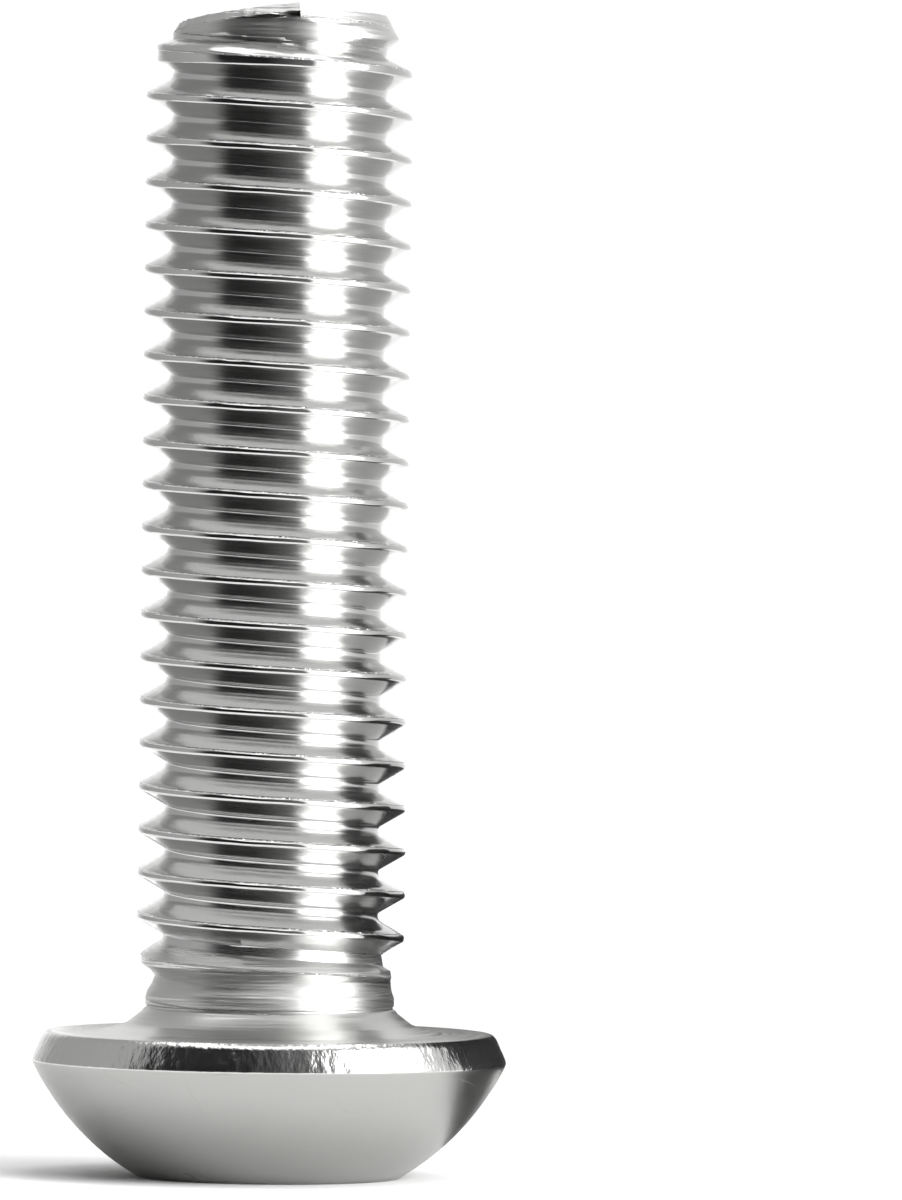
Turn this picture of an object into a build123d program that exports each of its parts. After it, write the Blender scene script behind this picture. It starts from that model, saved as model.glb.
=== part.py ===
# Button head screw with a hexagon socket, metric M8 x 1.25 x 30, in stainless steel.
# It is one solid. The axis is Z. The screw stands on the flat ring round the socket mouth,
# so the crown of the head lies in the plane Z = 0 and the shank runs upwards from it.
# The shank is drawn to the crests of its thread, as screws in a parts library are.

from build123d import *
from math import radians, tan
import os

# ---- Driving dimensions, in millimetres and degrees ------------------------------------

# Head
head_dia = 13.8  # widest, before the edge between dome and rim is rounded
head_height = 4.2  # crown to bearing face
crown_ring_dia = 7.6  # flat ring that the dome ends in
dome_radius = 7.5
rim_height = 0.84  # narrow band between the dome and the bearing face
rim_taper = 0.3  # how far the rim draws in towards the bearing face
rim_edge_radius = 0.2  # between dome and rim
bearing_edge_radius = 0.12  # between rim and bearing face

# Hexagon socket, pressed by a punch with a conical point
socket_across_flats = 5.0
socket_depth = 2.75  # crown to the lower end of the walls, at the middle of a flat
socket_floor_angle = 120.0  # included angle of the conical floor
socket_mouth_dia = 6.45  # countersink, where it opens into the crown ring
socket_mouth_angle = 90.0  # included angle of the countersink

# Shank. Its heights are measured from the bearing face.
screw_length = 29.8  # bearing face to the end
thread_major_dia = 7.78  # over the crests of the thread
neck_dia = 7.22  # the blank, before the thread is rolled on it
neck_top = 1.95  # where the crests of the run-out begin to rise from the neck
full_thread_start = 2.85  # where they reach their full height
end_face_dia = 6.1
end_chamfer_length = 2.0

# The two-step flare that carries the neck into the bearing face
flare_foot_dia = 10.0
flare_step_dia = 8.4
flare_step_height = 0.22
flare_height = 0.65

# ---- Derived sizes ---------------------------------------------------------------------

bearing_z = head_height
end_z = bearing_z + screw_length
head_radius = head_dia / 2
bearing_radius = head_radius - rim_taper
neck_radius = neck_dia / 2
crest_radius = thread_major_dia / 2

# ---- Socket punch: a hexagon with a conical point, and the countersink -----------------

with BuildPart() as socket_punch:
    point_slope = tan(radians(socket_floor_angle / 2))
    point_z = socket_depth + socket_across_flats / 2 / point_slope
    with BuildSketch(Plane.XY):
        RegularPolygon(socket_across_flats / 2, 6, major_radius=False)
    extrude(amount=point_z)
    Cone(
        bottom_radius=point_z * point_slope,
        top_radius=0,
        height=point_z,
        align=(Align.CENTER, Align.CENTER, Align.MIN),
        mode=Mode.INTERSECT,
    )
    mouth_radius = socket_mouth_dia / 2
    Cone(
        bottom_radius=mouth_radius,
        top_radius=0,
        height=mouth_radius / tan(radians(socket_mouth_angle / 2)),
        align=(Align.CENTER, Align.CENTER, Align.MIN),
    )

# ---- The screw -------------------------------------------------------------------------

with BuildPart() as button_head_screw:
    # Half section in the plane of the axis: crown, dome, rim, bearing face, flare, neck,
    # the slow rise of the thread's run-out, the full thread and the chamfered end.
    with BuildSketch(Plane.XZ) as half_section:
        with BuildLine():
            dome = RadiusArc(
                (crown_ring_dia / 2, 0),
                (head_radius, bearing_z - rim_height),
                -dome_radius,
            )
            Polyline(
                dome @ 1,
                (bearing_radius, bearing_z),
                (flare_foot_dia / 2, bearing_z),
                (flare_step_dia / 2, bearing_z + flare_step_height),
                (neck_radius, bearing_z + flare_height),
                (neck_radius, bearing_z + neck_top),
                (crest_radius, bearing_z + full_thread_start),
                (crest_radius, end_z - end_chamfer_length),
                (end_face_dia / 2, end_z),
                (0, end_z),
                (0, 0),
                dome @ 0,
            )
        make_face()
        rim_edge = vertices().sort_by_distance((head_radius, bearing_z - rim_height))[0]
        fillet(rim_edge, rim_edge_radius)
        bearing_edge = vertices().sort_by_distance((bearing_radius, bearing_z))[0]
        fillet(bearing_edge, bearing_edge_radius)
    revolve(axis=Axis.Z)

    add(socket_punch.part, mode=Mode.SUBTRACT)

os.makedirs("parts", exist_ok=True)
button_head_screw.part.label = "button_head_screw"
export_step(button_head_screw.part, "parts/button_head_screw.step")
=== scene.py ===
# %% [markdown]
# # A button head screw
# One cold-formed part: a low domed head with a hexagon socket, a short neck and a rolled
# thread. The plain solid from the parts library could be shown as it is, but its shank has
# no thread. So the screw is drawn again on that solid's place and size, with what a maker's
# eye looks for: the thread, its run-out, the folded lip at its end, and the marks that each
# press and roller leaves on stainless steel.

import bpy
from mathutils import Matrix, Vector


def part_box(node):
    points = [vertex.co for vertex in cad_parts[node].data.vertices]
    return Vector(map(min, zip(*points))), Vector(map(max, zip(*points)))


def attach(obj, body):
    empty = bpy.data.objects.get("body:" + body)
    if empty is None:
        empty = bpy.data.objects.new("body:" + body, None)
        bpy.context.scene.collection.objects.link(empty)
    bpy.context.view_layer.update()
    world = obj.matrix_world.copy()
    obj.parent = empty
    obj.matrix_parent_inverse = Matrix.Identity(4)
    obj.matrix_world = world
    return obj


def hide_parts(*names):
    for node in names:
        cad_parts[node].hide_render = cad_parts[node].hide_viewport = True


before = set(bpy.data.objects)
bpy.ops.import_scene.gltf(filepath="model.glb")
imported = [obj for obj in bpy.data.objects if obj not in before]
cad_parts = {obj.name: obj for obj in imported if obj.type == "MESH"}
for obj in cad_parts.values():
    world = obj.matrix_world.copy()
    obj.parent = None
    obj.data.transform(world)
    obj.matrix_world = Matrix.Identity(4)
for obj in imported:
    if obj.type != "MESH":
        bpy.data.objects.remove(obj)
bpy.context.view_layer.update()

# %% [markdown]
# ## Sizes
# A screw is known by a few sizes: its head, its length and its thread. They could all be
# typed in, but head and length are read from the solid, so that the two can't drift apart.
#
# The mesh is drawn in millimetres and turned to metres at the very end, so that every
# value reads as it would on a drawing. Heights up the shank are measured from the bearing
# face, which is the flat ring under the head, as they are on a real screw.

# %% Sizes that the solid already has
import math

import bmesh
import bpy
import numpy as np
from mathutils import Matrix, Vector, noise

MM = 0.001
WITHIN = 0.002  # the dressed head stays this far inside the solid
low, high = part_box("button_head_screw")
HEAD_R = min(-low.x, -low.y, high.x, high.y) / MM - WITHIN
END_Z = high.z / MM
BEARING_Z = 4.2
SHANK = END_Z - BEARING_Z
TURN_STEPS = 174  # steps round the axis: a multiple of 6, so the socket's corners fall on it
print("head radius", round(HEAD_R, 3), "shank", round(SHANK, 3))

# %% [markdown]
# ## The thread
# A rolled M8 thread repeats every 1.25 mm. Its two flanks stand at 60 degrees to each
# other. The crest is a narrow flat, rounded below and ragged above, where the metal that
# the rollers pushed up never quite filled their groove. The root is rounded.
#
# Stacked rings or a bump pattern would be lighter, but rings don't climb and a bump leaves
# the outline smooth, and both show at once on a screw. So one pitch of the outline is drawn
# as a wire of a few points. Spinning it while it drops by one pitch a turn draws the true
# thread, as a lathe does. This thread is left-hand, so it drops as it turns anticlockwise.

# %% One pitch of the thread's outline
PITCH = 1.25
CREST_R = 3.89
ROOT_R = 3.105
CREST_AT_X = 0.265  # height of a crest where the thread crosses the +X side
# distance along the axis from the middle of the crest, and radius
PROFILE = [
    (-0.690, 3.122), (-0.635, 3.108), (-0.570, ROOT_R), (-0.525, 3.124), (-0.490, 3.168),
    (-0.300, 3.497), (-0.135, 3.783),
    (-0.110, 3.826), (-0.088, 3.858), (-0.060, 3.880),
    (-0.025, 3.889), (0.022, CREST_R), (0.062, 3.866), (0.095, 3.844),
    (0.300, 3.493), (0.415, 3.294), (0.448, 3.236), (0.495, 3.168), (0.560, 3.122),
]
lowest_crest = BEARING_Z + CREST_AT_X - PITCH

thread = bmesh.new()
wire = [thread.verts.new((r, 0, lowest_crest + s)) for s, r in PROFILE]
for a, b in zip(wire, wire[1:]):
    thread.edges.new((a, b))
bmesh.ops.spin(
    thread,
    geom=wire + thread.edges[:],
    cent=(0, 0, 0),
    axis=(0, 0, 1),
    dvec=(0, 0, -PITCH / TURN_STEPS),
    angle=math.tau,
    steps=TURN_STEPS,
)
print("faces in one turn", len(thread.faces))

# %% [markdown]
# The other turns are the same shape, one pitch further up each time. The wire could be
# spun on for all of them. Copies of one turn are quicker and line up exactly, and merging
# the points where two turns meet makes them one strip.

# %% The other turns
TURNS = 27
MERGE = 0.01
one_turn = thread.verts[:] + thread.edges[:] + thread.faces[:]
for turn in range(1, TURNS):
    copied = bmesh.ops.duplicate(thread, geom=one_turn)["geom"]
    points = [g for g in copied if isinstance(g, bmesh.types.BMVert)]
    bmesh.ops.translate(thread, verts=points, vec=(0, 0, turn * PITCH))
bmesh.ops.remove_doubles(thread, verts=thread.verts, dist=MERGE)
print("thread faces", len(thread.faces))

# %% [markdown]
# ## Run-out and crest
# Near the head the rollers run out: the groove grows shallow and the ridge is no longer
# filled, so it stays low with a broad top. A second wire could be drawn for those turns,
# but the shape changes all the way round. Two limits on the radius that change with height
# give every stage of it: a floor under the groove and a ceiling over the crest.

# %% Limits on the radius
NECK_R = 3.61
# height above the bearing face, radius
FLOOR = [(1.1, NECK_R), (1.4, 3.42), (1.65, 3.33), (2.19, 3.24), (2.84, ROOT_R)]
CREST = [
    (1.1, NECK_R), (1.3, 3.52), (1.565, 3.50), (1.95, 3.72), (2.3, 3.77), (2.815, CREST_R)
]


def along(table, height):
    """The value that a table of heights and values gives at this height."""
    return float(np.interp(height, [h for h, _ in table], [v for _, v in table]))


for height in (1.2, 2.0, 3.0):
    groove_r, crest_r = along(FLOOR, height), along(CREST, height)
    print("at", height, "groove", round(groove_r, 3), "crest", round(crest_r, 3))

# %% [markdown]
# A real crest is never quite even. Its line wanders a little, and its upper edge is ragged.
# A bump pattern alone would leave its outline perfect, so the points themselves move by a
# few hundredths of a millimetre, which breaks the bright line along the crest.

# %% Lower the run-out and unsettle the crest
WANDER = 0.012  # how far the crest wanders along the axis
WANDER_PER_MM = 1.1  # and how often
WANDER_REACH = 0.15  # points this near the middle of the crest wander with it
RAGGED = 0.022
RAGGED_PER_MM = 3.1
RAGGED_EDGE = (0.065, 0.10)  # above the middle of the crest


def from_crest(x, y, height):
    """Distance along the axis from the nearest crest."""
    turned = math.atan2(y, x) / math.tau * PITCH
    return (height - CREST_AT_X + turned + PITCH / 2) % PITCH - PITCH / 2


for v in thread.verts:
    height = v.co.z - BEARING_Z
    radius = math.hypot(v.co.x, v.co.y)
    wanted = min(max(radius, along(FLOOR, height)), along(CREST, height))
    up = from_crest(v.co.x, v.co.y, height)
    if abs(up) < WANDER_REACH:
        v.co.z += WANDER * noise.noise(v.co * WANDER_PER_MM)
    if RAGGED_EDGE[0] < up < RAGGED_EDGE[1]:
        v.co.z += RAGGED * noise.noise(v.co * RAGGED_PER_MM)
    v.co.xy *= wanted / radius
print("widest", round(max(v.co.xy.length for v in thread.verts), 3))

# %% [markdown]
# ## Cut to length
# The thread was drawn too long at both ends. It could be built to length, point by point,
# but two level cuts are simpler: one in the plain neck, where the head will join on, and
# one just above the end.

# %% Two level cuts
NECK_CUT = 0.98
TOP_CUT = SHANK + 0.05
NEAR_CUT = 1e-4  # points this near a cut are taken to lie on it


def keep(bm, height, normal):
    """Cuts the mesh level and throws away the side that the normal points to."""
    bmesh.ops.bisect_plane(
        bm,
        geom=bm.verts[:] + bm.edges[:] + bm.faces[:],
        dist=NEAR_CUT,
        plane_co=(0, 0, BEARING_Z + height),
        plane_no=normal,
        clear_outer=True,
    )


keep(thread, NECK_CUT, (0, 0, -1))
keep(thread, TOP_CUT, (0, 0, 1))
print("cut thread faces", len(thread.faces))

# %% [markdown]
# ## The lip's climb
# The real end isn't level. Rolling squeezes the last turn up into a thin lip that climbs
# round the screw and stops in a step, with an open wedge under its highest part. The lip
# could be a piece of its own set on a flat end, but then a seam would show where the real
# metal runs through. So the end will be grown out of the thread's own top edge, and these
# tables say how high it lies on its way round.

# %% Heights of the lip and the wedge
LIP_STEP = 281  # degrees round from +X, where the lip stops
# degrees round, and height of the edge above the bearing face
LIP = [(LIP_STEP, 29.60), (360, 29.50), (540, 29.14), (LIP_STEP + 360, 29.79)]
LIP_THICKNESS = 0.26
LAP_START = 243  # degrees round, where the wedge under the lip opens
LAP_GAP = 0.18
LAP_DEPTH = 0.42


def degrees_round(co):
    """Degrees round the axis from +X, anticlockwise seen from above, 0 to 360."""
    return math.degrees(math.atan2(co.y, co.x)) % 360


def lip_height(degrees):
    """Height of the end's edge above the bearing face."""
    return along(LIP, degrees if degrees >= LIP_STEP else degrees + 360)


def lap(degrees):
    """How open the wedge is here, 0 to 1."""
    if not LAP_START < degrees < LIP_STEP:
        return 0.0
    return (degrees - LAP_START) / (LIP_STEP - LAP_START)


print("step in the lip", round(lip_height(LIP_STEP - 0.01) - lip_height(LIP_STEP), 2))

# %% [markdown]
# ## The last turn
# The wire's end was chamfered before rolling, so too little metal filled the rollers: the
# last crest stays low and broad, and on the +X side the last groove ends under a plain
# cone. Cutting the crest down to a lower radius would turn its slopes into cones too. A low
# crest keeps its 60 degree flanks, so its points slide in along them instead.

# %% Tables for the last turn
PULL_START = 28.6  # above this the thread is pulled down to the lip's height
SHAPED_FROM = 20  # nothing below this height is changed by the end
# the crest's height above the bearing face, and its radius: full again before the cut edge
LAST_CREST = [
    (27.4, CREST_R), (27.8, 3.86), (28.06, 3.80), (28.39, 3.56), (28.75, 3.50), (28.95, CREST_R)
]
SLIDE_SHARE = [(0.14, 1), (0.3, 0.4), (0.4, 0)]  # distance from the crest, share of the slide
FLANK_RUN = math.tan(math.radians(30))  # along the axis, for each millimetre of radius
FADE = [(28.60, 1.0), (28.74, 0.0)]  # height, and share of the ridge that is left
CONE_CORNER_R = 3.48
CONE = [(28.60, ROOT_R), (28.78, CONE_CORNER_R), (29.60, 3.01)]  # height, radius
SEAM = 0.07  # the low fold in the last groove, on the -Y side
SEAM_FROM_CREST = 0.59
SEAM_HEIGHTS = (28.4, 28.9)
print("last crest is lower by", round(CREST_R - min(r for _, r in LAST_CREST), 2))

# %% [markdown]
# Each point near the end now goes down with the lip, in along its flank, and out again
# where the cone is wider than what is left of the thread. One loop does all three, because
# each needs the height that the one before it gave.

# %% Shape the last turn
def eased(share):
    """Starts and stops softly between 0 and 1."""
    return share * share * (3 - 2 * share)


for v in thread.verts:
    height = v.co.z - BEARING_Z
    pull = eased(max(0, (height - PULL_START) / (TOP_CUT - PULL_START)))
    degrees = degrees_round(v.co)
    wanted = lip_height(degrees) - LIP_THICKNESS - LAP_GAP * lap(degrees)
    v.co.z -= (TOP_CUT - wanted) * pull
    height = v.co.z - BEARING_Z
    if height < SHAPED_FROM:
        continue
    radius = math.hypot(v.co.x, v.co.y)
    up = from_crest(v.co.x, v.co.y, height)
    slide = (CREST_R - along(LAST_CREST, height - up)) * along(SLIDE_SHARE, abs(up))
    v.co.z += math.copysign(slide * FLANK_RUN, up)
    height = v.co.z - BEARING_Z
    ridge_r = ROOT_R + (radius - slide - ROOT_R) * along(FADE, height)
    widest_cone = ROOT_R + (CONE_CORNER_R - ROOT_R) * max(0, v.co.x / radius)
    cone_r = min(along(CONE, height), widest_cone)
    if abs(up) > SEAM_FROM_CREST and SEAM_HEIGHTS[0] < height < SEAM_HEIGHTS[1]:
        ridge_r += SEAM * max(0, -v.co.y / radius)
    v.co.xy *= max(ridge_r, cone_r) / radius
print("top edge at", round(max(v.co.z for v in thread.verts) - BEARING_Z, 2))

# %% [markdown]
# ## The end face
# The lip is folded over where it is highest, and leaves an open wedge under it. Inside the
# lip the end is a shallow cup with the rough grain of a sheared bar. It could be a disc cut
# to shape, but then its edge would have to be matched to the thread's. Extruding the
# thread's own top edge, ring by ring, keeps every point of it in line. Each ring is the
# last one extruded, then moved by a rule that says where it lies.

# %% Helpers for rings
def rim_edges(bm, height, slack):
    """Open edges near this height."""
    return [
        e for e in bm.edges
        if e.is_boundary and all(abs(v.co.z - BEARING_Z - height) < slack for v in e.verts)
    ]


def next_ring(bm, edges, place):
    """Extrudes a ring of edges and moves each new point to place(degrees round, radius, height)."""
    out = bmesh.ops.extrude_edge_only(bm, edges=edges)["geom"]
    for v in [g for g in out if isinstance(g, bmesh.types.BMVert)]:
        degrees, radius = degrees_round(v.co), math.hypot(v.co.x, v.co.y)
        new_radius, height = place(degrees, radius, v.co.z - BEARING_Z)
        v.co.xy *= new_radius / radius
        v.co.z = BEARING_Z + height
    return [g for g in out if isinstance(g, bmesh.types.BMEdge)]


def torn(degrees, size):
    """A ragged offset round the ring, the same on every run."""
    a = math.radians(degrees)
    return size * noise.noise(Vector((math.cos(a), math.sin(a), 0.3)) * 14)


edges = rim_edges(thread, height=29.4, slack=0.7)
print("edges round the top", len(edges))

# %% [markdown]
# Four rings make the lip: the back of the wedge, the lip's underside, a bevel and its top.
# Past the step the wedge is shut, and the same rings carry the end on along the slope of
# the cone below it. A torn offset that is larger on the lip gives its ragged edge.

# %% The lip
TORN_FROM = 120  # degrees round, where the lip's edge begins to be torn
TEAR = 0.03
TOP_TEAR = 0.02
LEAST_STEP = 0.01  # keeps two rings apart where the wedge is shut
BACK_SHARE = 0.4  # the back of the wedge lies this far up its mouth
OVERHANG = 0.06  # how far the lip stands out past the thread below it
BEVEL = 0.15  # height of the lip's outer bevel
LEAN_ON_LIP = 0.65  # how far the bevel leans in, for its height
LEAN_PAST_LIP = 0.57
TOP_IN = 0.055
LEAST_TOP_R = 2.93


def on_lip(degrees):
    return TORN_FROM < degrees < LIP_STEP


def wedge_back(degrees, radius, height):
    return (
        radius - LEAST_STEP - LAP_DEPTH * lap(degrees),
        height + 2 * LEAST_STEP + BACK_SHARE * LAP_GAP * lap(degrees),
    )


def lip_underside(degrees, radius, height):
    tear = TEAR if on_lip(degrees) else 0
    return (
        radius + LEAST_STEP + (LAP_DEPTH + OVERHANG) * lap(degrees) + torn(degrees, tear),
        height + LEAST_STEP + (1 - BACK_SHARE) * LAP_GAP * lap(degrees) + torn(degrees + 90, tear),
    )


def lip_bevel(degrees, radius, height):
    lean = LEAN_ON_LIP if on_lip(degrees) else LEAN_PAST_LIP
    return radius - lean * BEVEL, height + BEVEL


def lip_top(degrees, radius, height):
    return max(radius - TOP_IN, LEAST_TOP_R), lip_height(degrees) + torn(degrees, TOP_TEAR)


for place in (wedge_back, lip_underside, lip_bevel, lip_top):
    edges = next_ring(thread, edges, place)
print("lip up to", round(max(v.co.z for v in thread.verts) - BEARING_Z, 2))

# %% [markdown]
# Inside the lip the sheared face sinks into a cup. Its first ring turns in over the top of
# the lip, the second drops down the inside, and the rest lead to the middle, where a last
# small face closes it.

# %% The cup
LIP_WIDTH = 0.14
TURN_IN = 0.02  # how far the lip's top falls on its way in
CUP_DROP = 0.12
CUP_R = 2.72
CUP_TOP = 29.25
# radius, height above the bearing face, size of the tears
CUP = [(2.3, 28.98, 0.02), (1.3, 28.95, 0), (0.5, 28.93, 0)]


def lip_inside(degrees, radius, height):
    return radius - LIP_WIDTH, height - TURN_IN


def cup_wall(degrees, radius, height):
    return CUP_R, min(height - CUP_DROP, CUP_TOP) + torn(degrees, TEAR)


edges = next_ring(thread, edges, lip_inside)
edges = next_ring(thread, edges, cup_wall)
for ring_r, level, tear in CUP:
    edges = next_ring(thread, edges, lambda d, r, h: (ring_r, level + torn(d + 40, tear)))
bmesh.ops.edgeloop_fill(thread, edges=edges)
print("with its end", len(thread.faces))

# %% [markdown]
# ## The head
# The head is cold-formed in a round die: neck, two-step flare, bearing face, rim, dome and
# the flat ring of the crown. A stack of cones and a squashed sphere would come near it, but
# the steps and rounded edges catch the light as thin lines, and each needs its own place.
# So half of the outline is drawn as a wire, from the neck down to the rim.

# %% Half of the head's outline
DOME_EDGE = (HEAD_R - 0.03, 3.26)
# distance from the axis, and height above the crown
NECK_TO_RIM = [
    (NECK_R, BEARING_Z + NECK_CUT - 0.06),
    (NECK_R, BEARING_Z + 0.80),
    (NECK_R - 0.04, BEARING_Z + 0.76),
    (NECK_R - 0.03, BEARING_Z + 0.71),
    (NECK_R + 0.04, BEARING_Z + 0.66),
    (NECK_R + 0.12, BEARING_Z + 0.56),
    (4.12, BEARING_Z + 0.26),
    (4.22, BEARING_Z + 0.21),
    (4.95, BEARING_Z + 0.03),
    (5.05, BEARING_Z),
    (5.70, BEARING_Z - 0.004),
    (6.43, BEARING_Z - 0.01),
    (6.49, BEARING_Z - 0.03),
    (6.55, BEARING_Z - 0.09),
    (6.60, BEARING_Z - 0.155),
    (6.63, BEARING_Z - 0.215),
    (6.71, BEARING_Z - 0.40),
    (6.79, BEARING_Z - 0.57),
    (6.85, BEARING_Z - 0.71),
    (HEAD_R, BEARING_Z - 0.80),
    (HEAD_R, BEARING_Z - 0.86),
    DOME_EDGE,
]
head = bmesh.new()
points = [head.verts.new((r, 0, z)) for r, z in NECK_TO_RIM]
for a, b in zip(points, points[1:]):
    head.edges.new((a, b))
print("points from neck to rim", len(points))

# %% [markdown]
# The dome is an arc of 7.5 mm radius that ends at the flat ring of the crown. Its points
# could be worked out with sines and cosines. Spinning the outline's last point about the
# arc's centre gives the same ones, and the centre follows from the arc's two ends.

# %% The dome
CROWN_R = 3.8
DOME_R = 7.5
DOME_STEPS = 22


def arc_centre(a, b, radius):
    """Centre of the arc through two points, on the side of the axis."""
    half = (Vector(b) - Vector(a)) / 2
    across = Vector((-half.y, half.x)).normalized()
    return Vector(a) + half + across * math.sqrt(radius**2 - half.length_squared)


centre = arc_centre((CROWN_R, 0), DOME_EDGE, DOME_R)
dome_start = math.atan2(DOME_EDGE[1] - centre.y, DOME_EDGE[0] - centre.x)
sweep = dome_start - math.atan2(-centre.y, CROWN_R - centre.x)
bmesh.ops.spin(
    head,
    geom=[points[-1]],
    cent=(centre.x, 0, centre.y),
    axis=(0, 1, 0),
    angle=sweep,
    steps=DOME_STEPS,
)
head.verts.ensure_lookup_table()
crown_edge = min(head.verts, key=lambda v: (v.co - Vector((CROWN_R, 0, 0))).length)
print("dome ends at", crown_edge.co)

# %% [markdown]
# The crown is the flat ring that the screw stands on, with the socket's mouth inside it.
# The outline goes in across it, with points close to both of its edges, so that soft
# shading keeps them crisp. A full spin about the screw's axis then makes the surface.

# %% The crown, and the full spin
SOCKET_MOUTH_R = 3.225
MOUTH_LIFT = 0.01  # the mouth's edge is rounded up by this much
crown_edge.co = (CROWN_R, 0, 0)
for r in (CROWN_R - 0.05, (CROWN_R + SOCKET_MOUTH_R) / 2, SOCKET_MOUTH_R + 0.03):
    v = head.verts.new((r, 0, 0))
    head.edges.new((crown_edge, v))
    crown_edge = v
v = head.verts.new((SOCKET_MOUTH_R, 0, MOUTH_LIFT))
head.edges.new((crown_edge, v))
bmesh.ops.spin(
    head,
    geom=head.verts[:] + head.edges[:],
    cent=(0, 0, 0),
    axis=(0, 0, 1),
    angle=math.tau,
    steps=TURN_STEPS,
    use_merge=True,
)
print("head faces", len(head.faces))

# %% [markdown]
# ## The socket
# A punch with six sides and a conical point made the socket, and a countersink opened its
# mouth. A boolean with a hexagonal prism would cut it, but it leaves long thin faces that
# shade badly. Instead each ring is extruded inward from the mouth and snapped to the punch:
# first onto the hexagon, which leaves the six scallops, then down the walls, then in along
# the cone.

# %% The punch's shape
FLAT_R = 2.5  # half of the 5 mm across the flats
SOCKET_DEPTH = 2.75
FLOOR_SLOPE = 1 / math.tan(math.radians(60))  # the point's included angle is 120 degrees


def hexagon(degrees):
    """Distance from the axis to the hexagon's side, with two sides facing along X."""
    return FLAT_R / math.cos(math.radians((degrees + 30) % 60 - 30))


def floor_depth(radius):
    """How deep the conical floor lies at this distance from the axis."""
    return SOCKET_DEPTH + (FLAT_R - radius) * FLOOR_SLOPE


print("deepest, at the axis", round(floor_depth(0), 2))

# %% [markdown]
# Three rules place the rings. The walls draw in by a fiftieth of a millimetre on their way
# down, as a pressed socket's do. Rings close to each edge keep it crisp.

# %% Rings of the socket
WALL_DRAFT = 0.02
WALL_SHARES = (0.02, 0.25, 0.5, 0.75, 0.97, 1.0)  # of the way down the walls
FLOOR_SHARES = (0.97, 0.8, 0.6, 0.4, 0.2, 0.05)  # of the hexagon's size, in along the floor


def scallop(degrees, radius, height):
    r = hexagon(degrees)
    return r, SOCKET_MOUTH_R - r - BEARING_Z


def wall(share):
    """A ring part of the way down the walls."""
    def place(degrees, radius, height):
        r = hexagon(degrees)
        mouth = SOCKET_MOUTH_R - r
        return r - WALL_DRAFT * share, mouth + (floor_depth(r) - mouth) * share - BEARING_Z
    return place


def cone(share):
    """A ring part of the way in along the floor."""
    def place(degrees, radius, height):
        r = hexagon(degrees) * share
        return r, floor_depth(r) - BEARING_Z
    return place


edges = rim_edges(head, height=MOUTH_LIFT - BEARING_Z, slack=0.05)
print("socket mouth edges", len(edges))
edges = next_ring(head, edges, scallop)
for share in WALL_SHARES:
    edges = next_ring(head, edges, wall(share))
for share in FLOOR_SHARES:
    edges = next_ring(head, edges, cone(share))
bmesh.ops.edgeloop_fill(head, edges=edges)
print("head faces with the socket", len(head.faces))

# %% [markdown]
# ## One closed piece
# Head and thread are one piece of steel and meet in the plain neck. They could be left as
# two shells that overlap there, but a library part has to be one closed surface. Two open
# rings are bridged, which closes it, and the normals are then turned outward all together.

# %% Join head and thread
head_mesh = bpy.data.meshes.new("head")
head.to_mesh(head_mesh)
thread.from_mesh(head_mesh)
bpy.data.meshes.remove(head_mesh)
neck_edges = [e for e in thread.edges if e.is_boundary]
print("open edges in the neck", len(neck_edges))
bmesh.ops.bridge_loops(thread, edges=neck_edges)
bmesh.ops.recalc_face_normals(thread, faces=thread.faces)
print("open edges left", sum(e.is_boundary for e in thread.edges))
print("volume mm3", round(thread.calc_volume(), 1))

# %% [markdown]
# ## Which tool left which face
# The screw is one metal, but six tools touched it last: thread rollers, tumbling stones,
# the die's side, a turned tool under the head, the socket punch and the shear. The finishes
# could be painted as a mask over one material. Every tool kept to its own place on this
# screw, so each face takes its finish from where it lies.

# %% Finishes by place
THREAD, DOME, RIM, FLARE, SOCKET, END = range(6)
END_FROM = 28.4  # the sheared face: above this height, and this near the axis
END_FACE_R = 2.6
NECK_FROM = 0.62  # the thread's finish begins here, at the top of the flare
BEARING_TO = -0.03  # the bearing face ends this far down its rounded edge
RIM_FROM = 3.36  # height above the crown
INSIDE_MOUTH_R = SOCKET_MOUTH_R - 0.002


def finish_of(face):
    """Which tool left this face as it is."""
    c = face.calc_center_median()
    radius, height = math.hypot(c.x, c.y), c.z - BEARING_Z
    if height > END_FROM and radius < END_FACE_R:
        return END
    if height > NECK_FROM:
        return THREAD
    if radius < INSIDE_MOUTH_R:
        return SOCKET
    if height > BEARING_TO:
        return FLARE
    return RIM if c.z > RIM_FROM else DOME


for f in thread.faces:
    f.material_index = finish_of(f)
counts = [sum(f.material_index == finish for f in thread.faces) for finish in range(6)]
print("faces: thread, dome, rim, flare, socket, end", counts)

# %% [markdown]
# Rounded steel shades smoothly, and only true edges break the light. An edge split by a
# modifier would do it too, but it cuts the surface open. So all faces are smooth and the
# edges that turn by more than 38 degrees are marked sharp. That is over the angle between
# neighbouring faces of the rounded crest and under that of the socket's corners, at 60.
#
# The mesh then shrinks from millimetres to metres and becomes an object at the origin.

# %% Soft shading, and metres
SHARP = math.radians(38)
for f in thread.faces:
    f.smooth = True
for e in thread.edges:
    e.smooth = e.calc_face_angle(0) < SHARP
bmesh.ops.scale(thread, vec=(MM, MM, MM), verts=thread.verts)
mesh = bpy.data.meshes.new("rolled_screw")
thread.to_mesh(mesh)
screw = bpy.data.objects.new("rolled_screw", mesh)
bpy.context.scene.collection.objects.link(screw)
print("triangles", sum(len(p.vertices) - 2 for p in mesh.polygons))

# %% [markdown]
# ## Stainless steel
# Every face is the same metal, so the colour hardly changes. What changes is how rough it
# is and which way its marks run. Pictures of steel could be wrapped round it, but they blur
# close up and need a seam. Patterns worked out from each point's place in millimetres stay
# sharp and keep their true size.
#
# A material is a net of nodes. One helper adds any node, one starts a bare steel, and one
# gives the place in millimetres.

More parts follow.
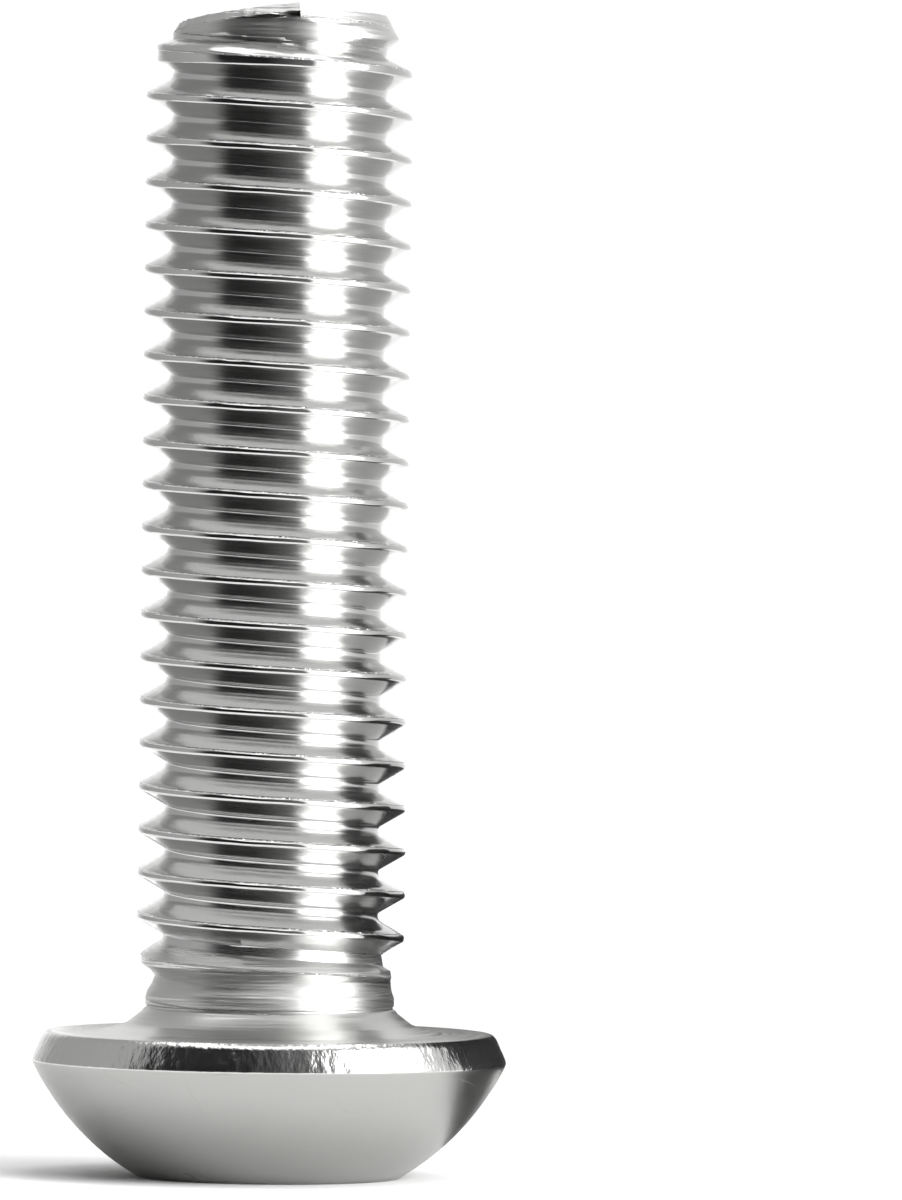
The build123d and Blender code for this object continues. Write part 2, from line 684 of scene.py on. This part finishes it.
# %% Helpers for colour and nodes
def linear(code):
    """Linear colour from an sRGB hex code such as C8C6C2."""
    parts = [int(code[i : i + 2], 16) / 255 for i in (0, 2, 4)]
    return [p / 12.92 if p <= 0.04045 else ((p + 0.055) / 1.055) ** 2.4 for p in parts] + [1]


def node(tree, kind, links=None, **settings):
    """Adds a node with its settings; links gives each input a value, an output or a node."""
    made = tree.nodes.new("ShaderNode" + kind)
    for key, value in settings.items():
        setattr(made, key, value)
    for key, value in (links or {}).items():
        if isinstance(value, bpy.types.Node):
            value = value.outputs[0]
        if isinstance(value, bpy.types.NodeSocket):
            tree.links.new(value, made.inputs[key])
        else:
            made.inputs[key].default_value = value
    return made


def stainless(name, code, roughness):
    """A bare steel material on the screw, as its node tree, its shader and the place in mm."""
    material = bpy.data.materials.new(name)
    material.use_nodes = True
    tree = material.node_tree
    shader = tree.nodes["Principled BSDF"]
    shader.inputs["Base Color"].default_value = linear(code)
    shader.inputs["Metallic"].default_value = 1
    shader.inputs["Roughness"].default_value = roughness
    mesh.materials.append(material)
    metres = node(tree, "TexCoord").outputs["Object"]
    place = node(tree, "VectorMath", {0: metres, 1: (1 / MM,) * 3}, operation="MULTIPLY")
    return tree, shader, place


print("steel grey as linear light", [round(c, 3) for c in linear("C4C4C3")])

# %% [markdown]
# ## The rolled thread
# Rollers squeeze the blank and leave fine lines that follow the thread round. Straight
# bands or rings would cut across the slope of the thread. So the shader works out how far
# each point lies from the crest, with the same sum as the mesh, and marks can then be
# stretched along the thread itself.

# %% Thread: distance from the crest
tree, shader, place = stainless("rolled_stainless_thread", "C4C4C3", 0.20)
xyz = node(tree, "SeparateXYZ", {0: place})
x, y, z = xyz.outputs
angle = node(tree, "Math", {0: y, 1: x}, operation="ARCTAN2")
turned = node(tree, "Math", {0: angle, 1: PITCH / math.tau}, operation="MULTIPLY")
above_first = node(tree, "Math", {0: z, 1: BEARING_Z + CREST_AT_X}, operation="SUBTRACT")
climb = node(tree, "Math", {0: above_first, 1: turned}, operation="ADD")
shifted = node(tree, "Math", {0: climb, 1: PITCH / 2}, operation="ADD")
wrapped = node(tree, "Math", {0: shifted, 1: PITCH}, operation="FLOORED_MODULO")
crest = node(tree, "Math", {0: wrapped, 1: PITCH / 2}, operation="SUBTRACT")
print("nodes for the distance from the crest", len(tree.nodes))

# %% [markdown]
# Three marks break up the thread's light. Real roller lines are finer than the render can
# show, so they are drawn as coarse as they need to be: 0.08 mm apart, running on for 3 mm.
# To the eye they are bands of light that fray along the thread. The neck and the folded tip
# were rubbed, not rolled, and show streaks 0.15 mm apart round the screw. The unfilled
# upper edge of the crest is broken every 0.2 mm, which makes a row of bright dots.

# %% Thread: the marks
# marks in each millimetre
ALONG_THREAD = (0.35, 0.35, 12)  # the last one counts away from the crest
ROUND_SCREW = (0.3, 0.3, 7)
EVERY_WAY = (5, 5, 5)
on_thread = node(tree, "CombineXYZ", {"X": x, "Y": y, "Z": crest})
stretched = node(tree, "VectorMath", {0: on_thread, 1: ALONG_THREAD}, operation="MULTIPLY")
lines = node(
    tree, "TexNoise", {"Vector": stretched, "W": 0, "Scale": 1, "Detail": 2}, noise_dimensions="4D"
)
stretched = node(tree, "VectorMath", {0: place, 1: ROUND_SCREW}, operation="MULTIPLY")
streaks = node(
    tree, "TexNoise", {"Vector": stretched, "W": 0, "Scale": 1, "Detail": 3}, noise_dimensions="4D"
)
stretched = node(tree, "VectorMath", {0: place, 1: EVERY_WAY}, operation="MULTIPLY")
nicks = node(
    tree, "TexNoise", {"Vector": stretched, "W": 0, "Scale": 1, "Detail": 2}, noise_dimensions="4D"
)
print("roller lines", round(1 / ALONG_THREAD[2], 2), "mm apart")

# %% [markdown]
# Each mark needs to know where it belongs. Map Range nodes turn a height or a distance from
# the crest into a share from 0 to 1, softly at its borders. Painted masks would do that
# too, but these follow from the sizes above.

# %% Thread: where each mark belongs
NECK_END = (BEARING_Z + 1.9, BEARING_Z + 2.8)  # the rubbed neck fades out between these heights
TIP_START = (BEARING_Z + 28.5, BEARING_Z + 28.9)  # and the rubbed tip comes in between these
UPPER_EDGE = 0.10  # of the crest, above its middle
neck_side = node(
    tree,
    "MapRange",
    {"Value": z, "From Min": NECK_END[0], "From Max": NECK_END[1], "To Min": 1, "To Max": 0},
)
tip_side = node(
    tree,
    "MapRange",
    {"Value": z, "From Min": TIP_START[0], "From Max": TIP_START[1], "To Min": 0, "To Max": 1},
)
rubbed = node(tree, "Math", {0: neck_side, 1: tip_side}, operation="MAXIMUM")
past_edge = node(tree, "Math", {0: crest, 1: UPPER_EDGE}, operation="SUBTRACT")
from_edge = node(tree, "Math", {0: past_edge, 1: 0}, operation="ABSOLUTE")
ragged_edge = node(
    tree,
    "MapRange",
    {"Value": from_edge, "From Min": 0.010, "From Max": 0.025, "To Min": 1, "To Max": 0},
)
print("rubbed below", round(NECK_END[0], 1), "and above", round(TIP_START[1], 1))

# %% [markdown]
# The marks are added up as heights, each times its strength. A Bump node then tilts the
# light as if a height of 1 were 0.03 mm. Moving the points instead would need a mesh many
# times as fine.

# %% Thread: relief
LINE_STRENGTH = 0.12
NICK_STRENGTH = 6
STREAK_STRENGTH = 1.6
line_part = node(tree, "Math", {0: lines, 1: LINE_STRENGTH}, operation="MULTIPLY")
nick_depth = node(tree, "Math", {0: nicks, 1: NICK_STRENGTH}, operation="MULTIPLY")
nick_part = node(tree, "Math", {0: ragged_edge, 1: nick_depth}, operation="MULTIPLY")
streak_depth = node(tree, "Math", {0: streaks, 1: STREAK_STRENGTH}, operation="MULTIPLY")
streak_part = node(tree, "Math", {0: rubbed, 1: streak_depth}, operation="MULTIPLY")
two_parts = node(tree, "Math", {0: line_part, 1: nick_part}, operation="ADD")
relief = node(tree, "Math", {0: two_parts, 1: streak_part}, operation="ADD")
bump = node(tree, "Bump", {"Height": relief, "Distance": 0.03 * MM, "Strength": 1})
tree.links.new(bump.outputs[0], shader.inputs["Normal"])
print("strengths", LINE_STRENGTH, NICK_STRENGTH, STREAK_STRENGTH)

# %% [markdown]
# The flat of the crest was burnished by the bottom of the rollers' groove, so it mirrors
# the dark room and shows as a black line. The rolled flanks are a little rougher, and the
# rubbed neck and tip are duller still.

# %% Thread: how rough it is
NOISE_LOW, NOISE_HIGH = 0.3, 0.7  # a noise seldom leaves this range
BURNISH = 0.09
RUBBED_DULL = 0.20
off_crest = node(tree, "Math", {0: crest, 1: 0}, operation="ABSOLUTE")
burnished = node(
    tree,
    "MapRange",
    {"Value": off_crest, "From Min": 0.08, "From Max": 0.10, "To Min": BURNISH, "To Max": 0},
)
rolled = node(
    tree,
    "MapRange",
    {"Value": lines, "From Min": NOISE_LOW, "From Max": NOISE_HIGH, "To Min": 0.14, "To Max": 0.24},
)
dull = node(tree, "Math", {0: rubbed, 1: RUBBED_DULL}, operation="MULTIPLY")
with_dull = node(tree, "Math", {0: rolled, 1: dull}, operation="ADD")
roughness = node(tree, "Math", {0: with_dull, 1: burnished}, operation="SUBTRACT")
tree.links.new(roughness.outputs[0], shader.inputs["Roughness"])
print("nodes in the thread's steel", len(tree.nodes))

# %% [markdown]
# ## The tumbled head
# The head was tumbled with small stones, which leaves a satin grain without direction. To
# the eye it softens what the dome mirrors into one smooth fall of light. A higher roughness
# alone would give an even blur, and real satin steel isn't quite even. So grain that is
# wide enough to show, 0.15 mm, lies over patches 2 mm wide that are more or less dull. The
# real grain is finer than the render can show.
#
# A few hairlines cross it, where the screws rubbed in their bag. Each is a level line of a
# slanted noise, which is long and curved, and some of them close into loops.

# %% Head
# marks in each millimetre along x, y and z
FINE = (7, 7, 7)
BROAD = (0.5, 0.5, 0.5)
SLANTED = (0.25, 0.25, 0.9)
HAIRLINE_LEVEL = 0.47
tree, shader, place = stainless("tumbled_stainless_head", "A6A6A4", 0.30)
stretched = node(tree, "VectorMath", {0: place, 1: FINE}, operation="MULTIPLY")
fine = node(
    tree, "TexNoise", {"Vector": stretched, "W": 0, "Scale": 1, "Detail": 3}, noise_dimensions="4D"
)
stretched = node(tree, "VectorMath", {0: place, 1: BROAD}, operation="MULTIPLY")
broad = node(
    tree, "TexNoise", {"Vector": stretched, "W": 0, "Scale": 1, "Detail": 2}, noise_dimensions="4D"
)
stretched = node(tree, "VectorMath", {0: place, 1: SLANTED}, operation="MULTIPLY")
slanted = node(
    tree, "TexNoise", {"Vector": stretched, "W": 0, "Scale": 1, "Detail": 0}, noise_dimensions="4D"
)
past_level = node(tree, "Math", {0: slanted, 1: HAIRLINE_LEVEL}, operation="SUBTRACT")
off_level = node(tree, "Math", {0: past_level, 1: 0}, operation="ABSOLUTE")
hairlines = node(
    tree,
    "MapRange",
    {"Value": off_level, "From Min": 0.001, "From Max": 0.004, "To Min": 1, "To Max": 0},
)
relief = node(tree, "Math", {0: fine, 1: hairlines}, operation="SUBTRACT")
bump = node(tree, "Bump", {"Height": relief, "Distance": 0.004 * MM, "Strength": 1})
tree.links.new(bump.outputs[0], shader.inputs["Normal"])
satin = node(
    tree,
    "MapRange",
    {"Value": broad, "From Min": NOISE_LOW, "From Max": NOISE_HIGH, "To Min": 0.27, "To Max": 0.36},
)
tree.links.new(satin.outputs[0], shader.inputs["Roughness"])
print("nodes in the head's steel", len(tree.nodes))

# %% [markdown]
# ## The pressed rim
# The rim is where the steel last touched the die. Upright flow marks run across it, 0.3 mm
# wide and three times as tall, and to the eye they break its dark reflection into upright
# streaks. They could be cut into the mesh, but they are only a few hundredths deep, so a
# stretched noise tilts the light instead.

# %% Rim
FLOW_MARKS = (3.4, 3.4, 1.2)  # in each millimetre
tree, shader, place = stainless("pressed_stainless_rim", "C4C4C3", 0.16)
stretched = node(tree, "VectorMath", {0: place, 1: FLOW_MARKS}, operation="MULTIPLY")
marks = node(
    tree, "TexNoise", {"Vector": stretched, "W": 0, "Scale": 1, "Detail": 3}, noise_dimensions="4D"
)
bump = node(tree, "Bump", {"Height": marks, "Distance": 0.04 * MM, "Strength": 1})
tree.links.new(bump.outputs[0], shader.inputs["Normal"])
print("nodes in the rim's steel", len(tree.nodes))

# %% [markdown]
# ## The formed flare
# The flare and the bearing face were pressed against a turned tool, so they carry the
# tool's rings, and light is drawn out round the screw. A Wave texture makes rings too, but
# all alike. A noise that changes quickly with the distance from the axis, every 0.12 mm,
# makes rings that differ. A turned tool's real rings are finer than the render can show.

# %% Flare and bearing face
RINGS_PER_MM = 8
tree, shader, place = stainless("formed_stainless_flare", "C4C4C2", 0.30)
flat = node(tree, "VectorMath", {0: place, 1: (1, 1, 0)}, operation="MULTIPLY")
radius = node(tree, "VectorMath", {0: flat}, operation="LENGTH").outputs["Value"]
outward = node(tree, "Math", {0: radius, 1: RINGS_PER_MM}, operation="MULTIPLY")
stretched = node(tree, "VectorMath", {0: place, 1: (0.3, 0.3, RINGS_PER_MM)}, operation="MULTIPLY")
rings = node(
    tree,
    "TexNoise",
    {"Vector": stretched, "W": outward, "Scale": 1, "Detail": 3},
    noise_dimensions="4D",
)
bump = node(tree, "Bump", {"Height": rings, "Distance": 0.012 * MM, "Strength": 1})
tree.links.new(bump.outputs[0], shader.inputs["Normal"])
formed = node(
    tree,
    "MapRange",
    {"Value": rings, "From Min": NOISE_LOW, "From Max": NOISE_HIGH, "To Min": 0.27, "To Max": 0.42},
)
tree.links.new(formed.outputs[0], shader.inputs["Roughness"])
print("nodes in the flare's steel", len(tree.nodes))

# %% [markdown]
# ## The punched socket
# The punch scraped down the walls of the socket. Its scrapes are 0.17 mm wide and 1.7 mm
# long, and to the eye they make the walls glint in upright threads. As on the rim, they are
# too shallow for the mesh, so a noise that is stretched along the axis gives them.

# %% Socket
SCRAPES = (6, 6, 0.6)  # in each millimetre
tree, shader, place = stainless("punched_stainless_socket", "BEBDBB", 0.24)
stretched = node(tree, "VectorMath", {0: place, 1: SCRAPES}, operation="MULTIPLY")
scrapes = node(
    tree, "TexNoise", {"Vector": stretched, "W": 0, "Scale": 1, "Detail": 3}, noise_dimensions="4D"
)
bump = node(tree, "Bump", {"Height": scrapes, "Distance": 0.02 * MM, "Strength": 1})
tree.links.new(bump.outputs[0], shader.inputs["Normal"])
print("nodes in the socket's steel", len(tree.nodes))

# %% [markdown]
# ## The sheared end
# The end was sheared off the wire and never touched again, so it is dull and torn. The
# tears run the way the blade went, 0.12 mm apart and 0.8 mm long, and to the eye they turn
# its reflection into a rough grey. The cup and its ragged rings are in the mesh. The tears
# are finer than its faces, so a stretched noise with more detail than the others adds them.

# %% End
TEARS = (8, 1.2, 4)  # in each millimetre
tree, shader, place = stainless("sheared_stainless_end", "C0BEBA", 0.34)
stretched = node(tree, "VectorMath", {0: place, 1: TEARS}, operation="MULTIPLY")
tears = node(
    tree, "TexNoise", {"Vector": stretched, "W": 0, "Scale": 1, "Detail": 4}, noise_dimensions="4D"
)
bump = node(tree, "Bump", {"Height": tears, "Distance": 0.03 * MM, "Strength": 1})
tree.links.new(bump.outputs[0], shader.inputs["Normal"])
print("finishes on the screw", [m.name for m in mesh.materials])

# %% [markdown]
# ## The piece stands for the solid
# The screw is one solid in the parts library, and this mesh is its dressed form. Both could
# be shown, one inside the other, but their skins would fight where they touch. So the mesh
# replaces the solid and moves with its body.

# %% The piece stands for the solid
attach(screw, "root")
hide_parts("button_head_screw")
print("the screw replaces button_head_screw")

# %% [markdown]
# ## Floor
# The screw stands on matt white card. A plane or a box would do, and a wide disc has no
# corners to be mirrored in the head. It is plain, because it is only there to catch the
# screw's shade.

# %% Floor
FLOOR_R = 0.05  # metres
floor_mesh = bmesh.new()
bmesh.ops.create_circle(floor_mesh, cap_ends=True, segments=128, radius=FLOOR_R)
data = bpy.data.meshes.new("floor")
floor_mesh.to_mesh(data)
floor = bpy.data.objects.new("floor", data)
bpy.context.scene.collection.objects.link(floor)
pale = bpy.data.materials.new("matt_white_card")
pale.use_nodes = True
pale_shader = pale.node_tree.nodes["Principled BSDF"]
pale_shader.inputs["Base Color"].default_value = linear("DADADA")
pale_shader.inputs["Roughness"].default_value = 0.9
data.materials.append(pale)
print("floor", 2 * FLOOR_R / MM, "mm across")

# %% [markdown]
# ## Dark disc and rod
# A second screw lies behind this one to the right, and its dark, shaded side shows in the right of
# the head and the neck. It could be modelled in full, but only its reflection matters. A disc
# for its head, a rod for its shank and a low disc on the floor stand in for it, all painted dark:
# their colour is painted shade, the second screw's shaded side and its shadow between the two
# heads.
# They are seen in the metal only, as a painted dark reflection, not by the camera.

# %% Dark disc and rod
ROD_WAY = Vector((-0.57, 0.82, 0))  # from its head to its end
UP = Vector((0, 0, 1))
DISC_AT = Vector((13.4, 2.7, 6.9))
ROD_AT = DISC_AT + 16 * ROD_WAY - Vector((0, 0, 1.5))
SHADE_AT = Vector((11.4, 3.9, 0.04))
dark_mesh = bmesh.new()
# the way each axis points, length, radius and middle
for way, length, radius, middle in (
    (ROD_WAY, 4, 6.9, DISC_AT),
    (ROD_WAY, 28, 3.9, ROD_AT),
    (UP, 0.04, 5.8, SHADE_AT),
):
    bmesh.ops.create_cone(
        dark_mesh,
        cap_ends=True,
        segments=48,
        radius1=radius * MM,
        radius2=radius * MM,
        depth=length * MM,
        matrix=Matrix.Translation(middle * MM) @ way.to_track_quat("Z", "Y").to_matrix().to_4x4(),
    )
data = bpy.data.meshes.new("dark_disc_and_rod")
dark_mesh.to_mesh(data)
dark = bpy.data.objects.new("dark_disc_and_rod", data)
bpy.context.scene.collection.objects.link(dark)
# Painted shade: this dark colour stands for the second screw's shaded side and the shadow between
# the heads, seen only as a reflection in the metal.
black = bpy.data.materials.new("painted_shade_reflection")
black.use_nodes = True
black_shader = black.node_tree.nodes["Principled BSDF"]
black_shader.inputs["Base Color"].default_value = linear("303030")
data.materials.append(black)
dark.visible_camera = False
dark.visible_shadow = False
dark.visible_diffuse = False
print("faces of the dark shapes", len(data.polygons))

# %% [markdown]
# ## The room in the metal
# Bright metal shows the room and little else. A long white softbox stands to the right,
# the room behind the camera is dark, and the far walls are pale. Lamps and cards could be
# set up as in a studio, but each edge of light on the steel would then take its own card.
# The world is painted instead, as brightness by direction: one table goes round the walls
# and one goes up from the floor.

# %% Brightness by direction
# degrees to the right of the camera, and brightness
WALLS = [
    (-180, 1.8),
    (-163, 1.1),
    (-140, 0.5),
    (-108, 0.55),
    (-74, 0.62),
    (-58, 0.03),
    (-15, 0.02),
    (6, 0.12),
    (28, 0.25),
    (45, 7.0),
    (70, 7.0),
    (84, 1.1),
    (110, 0.75),
    (140, 0.9),
    (163, 1.1),
    (180, 1.8),
]
# degrees above the floor, and brightness
SKY = [(46, 8.0), (50, 0.5), (56, 0.5), (62, 2.4), (74, 2.4), (80, 0.8), (90, 0.8)]
BRIGHTEST = 8.0  # a ramp holds 0 to 1, so the tables are divided by this


def fill_ramp(ramp, table, start, extent):
    """Sets a ramp from a table of degrees and brightness."""
    while len(ramp.elements) < len(table):
        ramp.elements.new(1)
    for element, (degrees, light) in zip(ramp.elements, table):
        element.position = (degrees - start) / extent
        element.color = [light / BRIGHTEST] * 3 + [1]


print("brightest wall", max(light for _, light in WALLS))

# %% [markdown]
# The room's two tables are read by the way that a ray of light takes: how far round from
# the camera it goes and how far up. The angle round could be used as it is, but the dark
# part of this room grows wider upward. So the angle is narrowed a little with height, about
# the middle of the dark part.

# %% Angles of a ray
DARK_MIDDLE = math.radians(-15)
DARK_SPREAD = 0.15  # how much wider the dark part is straight up
world = bpy.data.worlds.new("studio")
world.use_nodes = True
bpy.context.scene.world = world
tree = world.node_tree
tree.nodes.clear()
way = node(tree, "TexCoord").outputs["Generated"]
xyz = node(tree, "SeparateXYZ", {0: way})
x, y, z = xyz.outputs
back = node(tree, "Math", {0: y, 1: -1}, operation="MULTIPLY")
azimuth = node(tree, "Math", {0: x, 1: back}, operation="ARCTAN2")
above = node(tree, "Math", {0: z, 1: 0}, operation="MAXIMUM")
narrowed = node(tree, "Math", {0: above, 1: -DARK_SPREAD, 2: 1}, operation="MULTIPLY_ADD")
off_middle = node(tree, "Math", {0: azimuth, 1: DARK_MIDDLE}, operation="SUBTRACT")
bent = node(tree, "Math", {0: off_middle, 1: narrowed, 2: DARK_MIDDLE}, operation="MULTIPLY_ADD")
round_share = node(tree, "MapRange", {"Value": bent, "From Min": -math.pi, "From Max": math.pi})
elevation = node(tree, "Math", {0: z}, operation="ARCSINE")
height_share = node(tree, "MapRange", {"Value": elevation, "From Max": math.pi / 2})
print("nodes for the angles", len(tree.nodes))

# %% [markdown]
# Up to 56 degrees the room is its walls, but never brighter than the second table allows,
# and above 58 degrees it is the ceiling's light alone. One map over both angles could hold
# it all, but it would be a picture, and two ramps can still be read and changed.
#
# What the metal mirrors is darker than what the camera should see behind it, so rays
# straight from the camera find plain white.

# %% Walls, ceiling and plain white
CEILING = (math.radians(56), math.radians(58))  # where the walls give way to the ceiling
PLAIN_WHITE = 1.05
walls = node(tree, "ValToRGB", {0: round_share})
fill_ramp(walls.color_ramp, WALLS, -180, 360)
sky = node(tree, "ValToRGB", {0: height_share})
fill_ramp(sky.color_ramp, SKY, 0, 90)
overhead = node(tree, "Background", {"Color": sky, "Strength": BRIGHTEST})
lower = node(tree, "Math", {0: walls, 1: sky}, operation="MINIMUM")
room = node(tree, "Background", {"Color": lower, "Strength": BRIGHTEST})
up = node(tree, "MapRange", {"Value": elevation, "From Min": CEILING[0], "From Max": CEILING[1]})
lit = node(tree, "MixShader", {0: up, 1: room, 2: overhead})
white = node(tree, "Background", {"Color": (1, 1, 1, 1), "Strength": PLAIN_WHITE})
seen = node(tree, "LightPath").outputs["Is Camera Ray"]
shown = node(tree, "MixShader", {0: seen, 1: lit, 2: white})
node(tree, "OutputWorld", {"Surface": shown})
bpy.context.scene.view_settings.view_transform = "Standard"
print("nodes in the room", len(tree.nodes))

# %% [markdown]
# ## Lamps for the floor
# Matt card needs light of its own, because the painted room is made for what the metal
# mirrors, and a brighter room would spoil that. So two soft round lamps light the floor and
# are hidden from everything shiny: one from above, and a wide low one that reaches under
# the head.

# %% Lamps that only matt surfaces see
# watts, diameter and place in metres
LAMPS = {
    "top_lamp": (3.6, 0.6, (0.25, -0.1, 0.8)),
    "low_lamp": (18.0, 0.8, (0.75, -0.80, 0.45)),
}
for name, (power, size, place) in LAMPS.items():
    lamp_data = bpy.data.lights.new(name, "AREA")
    lamp_data.shape = "DISK"
    lamp_data.size = size
    lamp_data.energy = power
    lamp = bpy.data.objects.new(name, lamp_data)
    lamp.location = place
    lamp.rotation_euler = (-Vector(place)).to_track_quat("-Z", "Y").to_euler()
    lamp.visible_glossy = False
    bpy.context.scene.collection.objects.link(lamp)
    print(name, power, "W")

# %% [markdown]
# ## Camera
# A small part is best seen through a long lens from well back, which keeps its sides
# parallel. A near camera with a wide lens would fill the frame too, but would swell the
# head. It looks from a little above the middle of the screw and is tilted slightly down.
# The screw stands left of the middle of the frame.

# %% Camera
DISTANCE = 375.0  # millimetres, as the next two
EYE_HEIGHT = 22.6
EYE_RIGHT = 5.13
DOWN = 0.886  # degrees, as the next
ROLL = 0.66
LENS = 387.9
camera_data = bpy.data.cameras.new("camera")
camera_data.sensor_width = 36
camera_data.lens = LENS
camera_data.clip_start = 0.01
camera = bpy.data.objects.new("camera", camera_data)
bpy.context.scene.collection.objects.link(camera)
camera.matrix_world = (
    Matrix.Translation(Vector((EYE_RIGHT, -DISTANCE, EYE_HEIGHT)) * MM)
    @ Matrix.Rotation(math.radians(90 - DOWN), 4, "X")
    @ Matrix.Rotation(math.radians(ROLL), 4, "Z")
)
bpy.context.scene.camera = camera
print("camera at", [round(c, 4) for c in camera.matrix_world.translation])

# %% [markdown]
# ## The dressed size
# A dressed part must be as large as its solid. That could be judged by eye, but printing
# the dressed screw's size shows it to a hundredth of a millimetre.

# %% The dressed size
print("the dressed screw in mm", [round(side / MM, 2) for side in screw.dimensions])
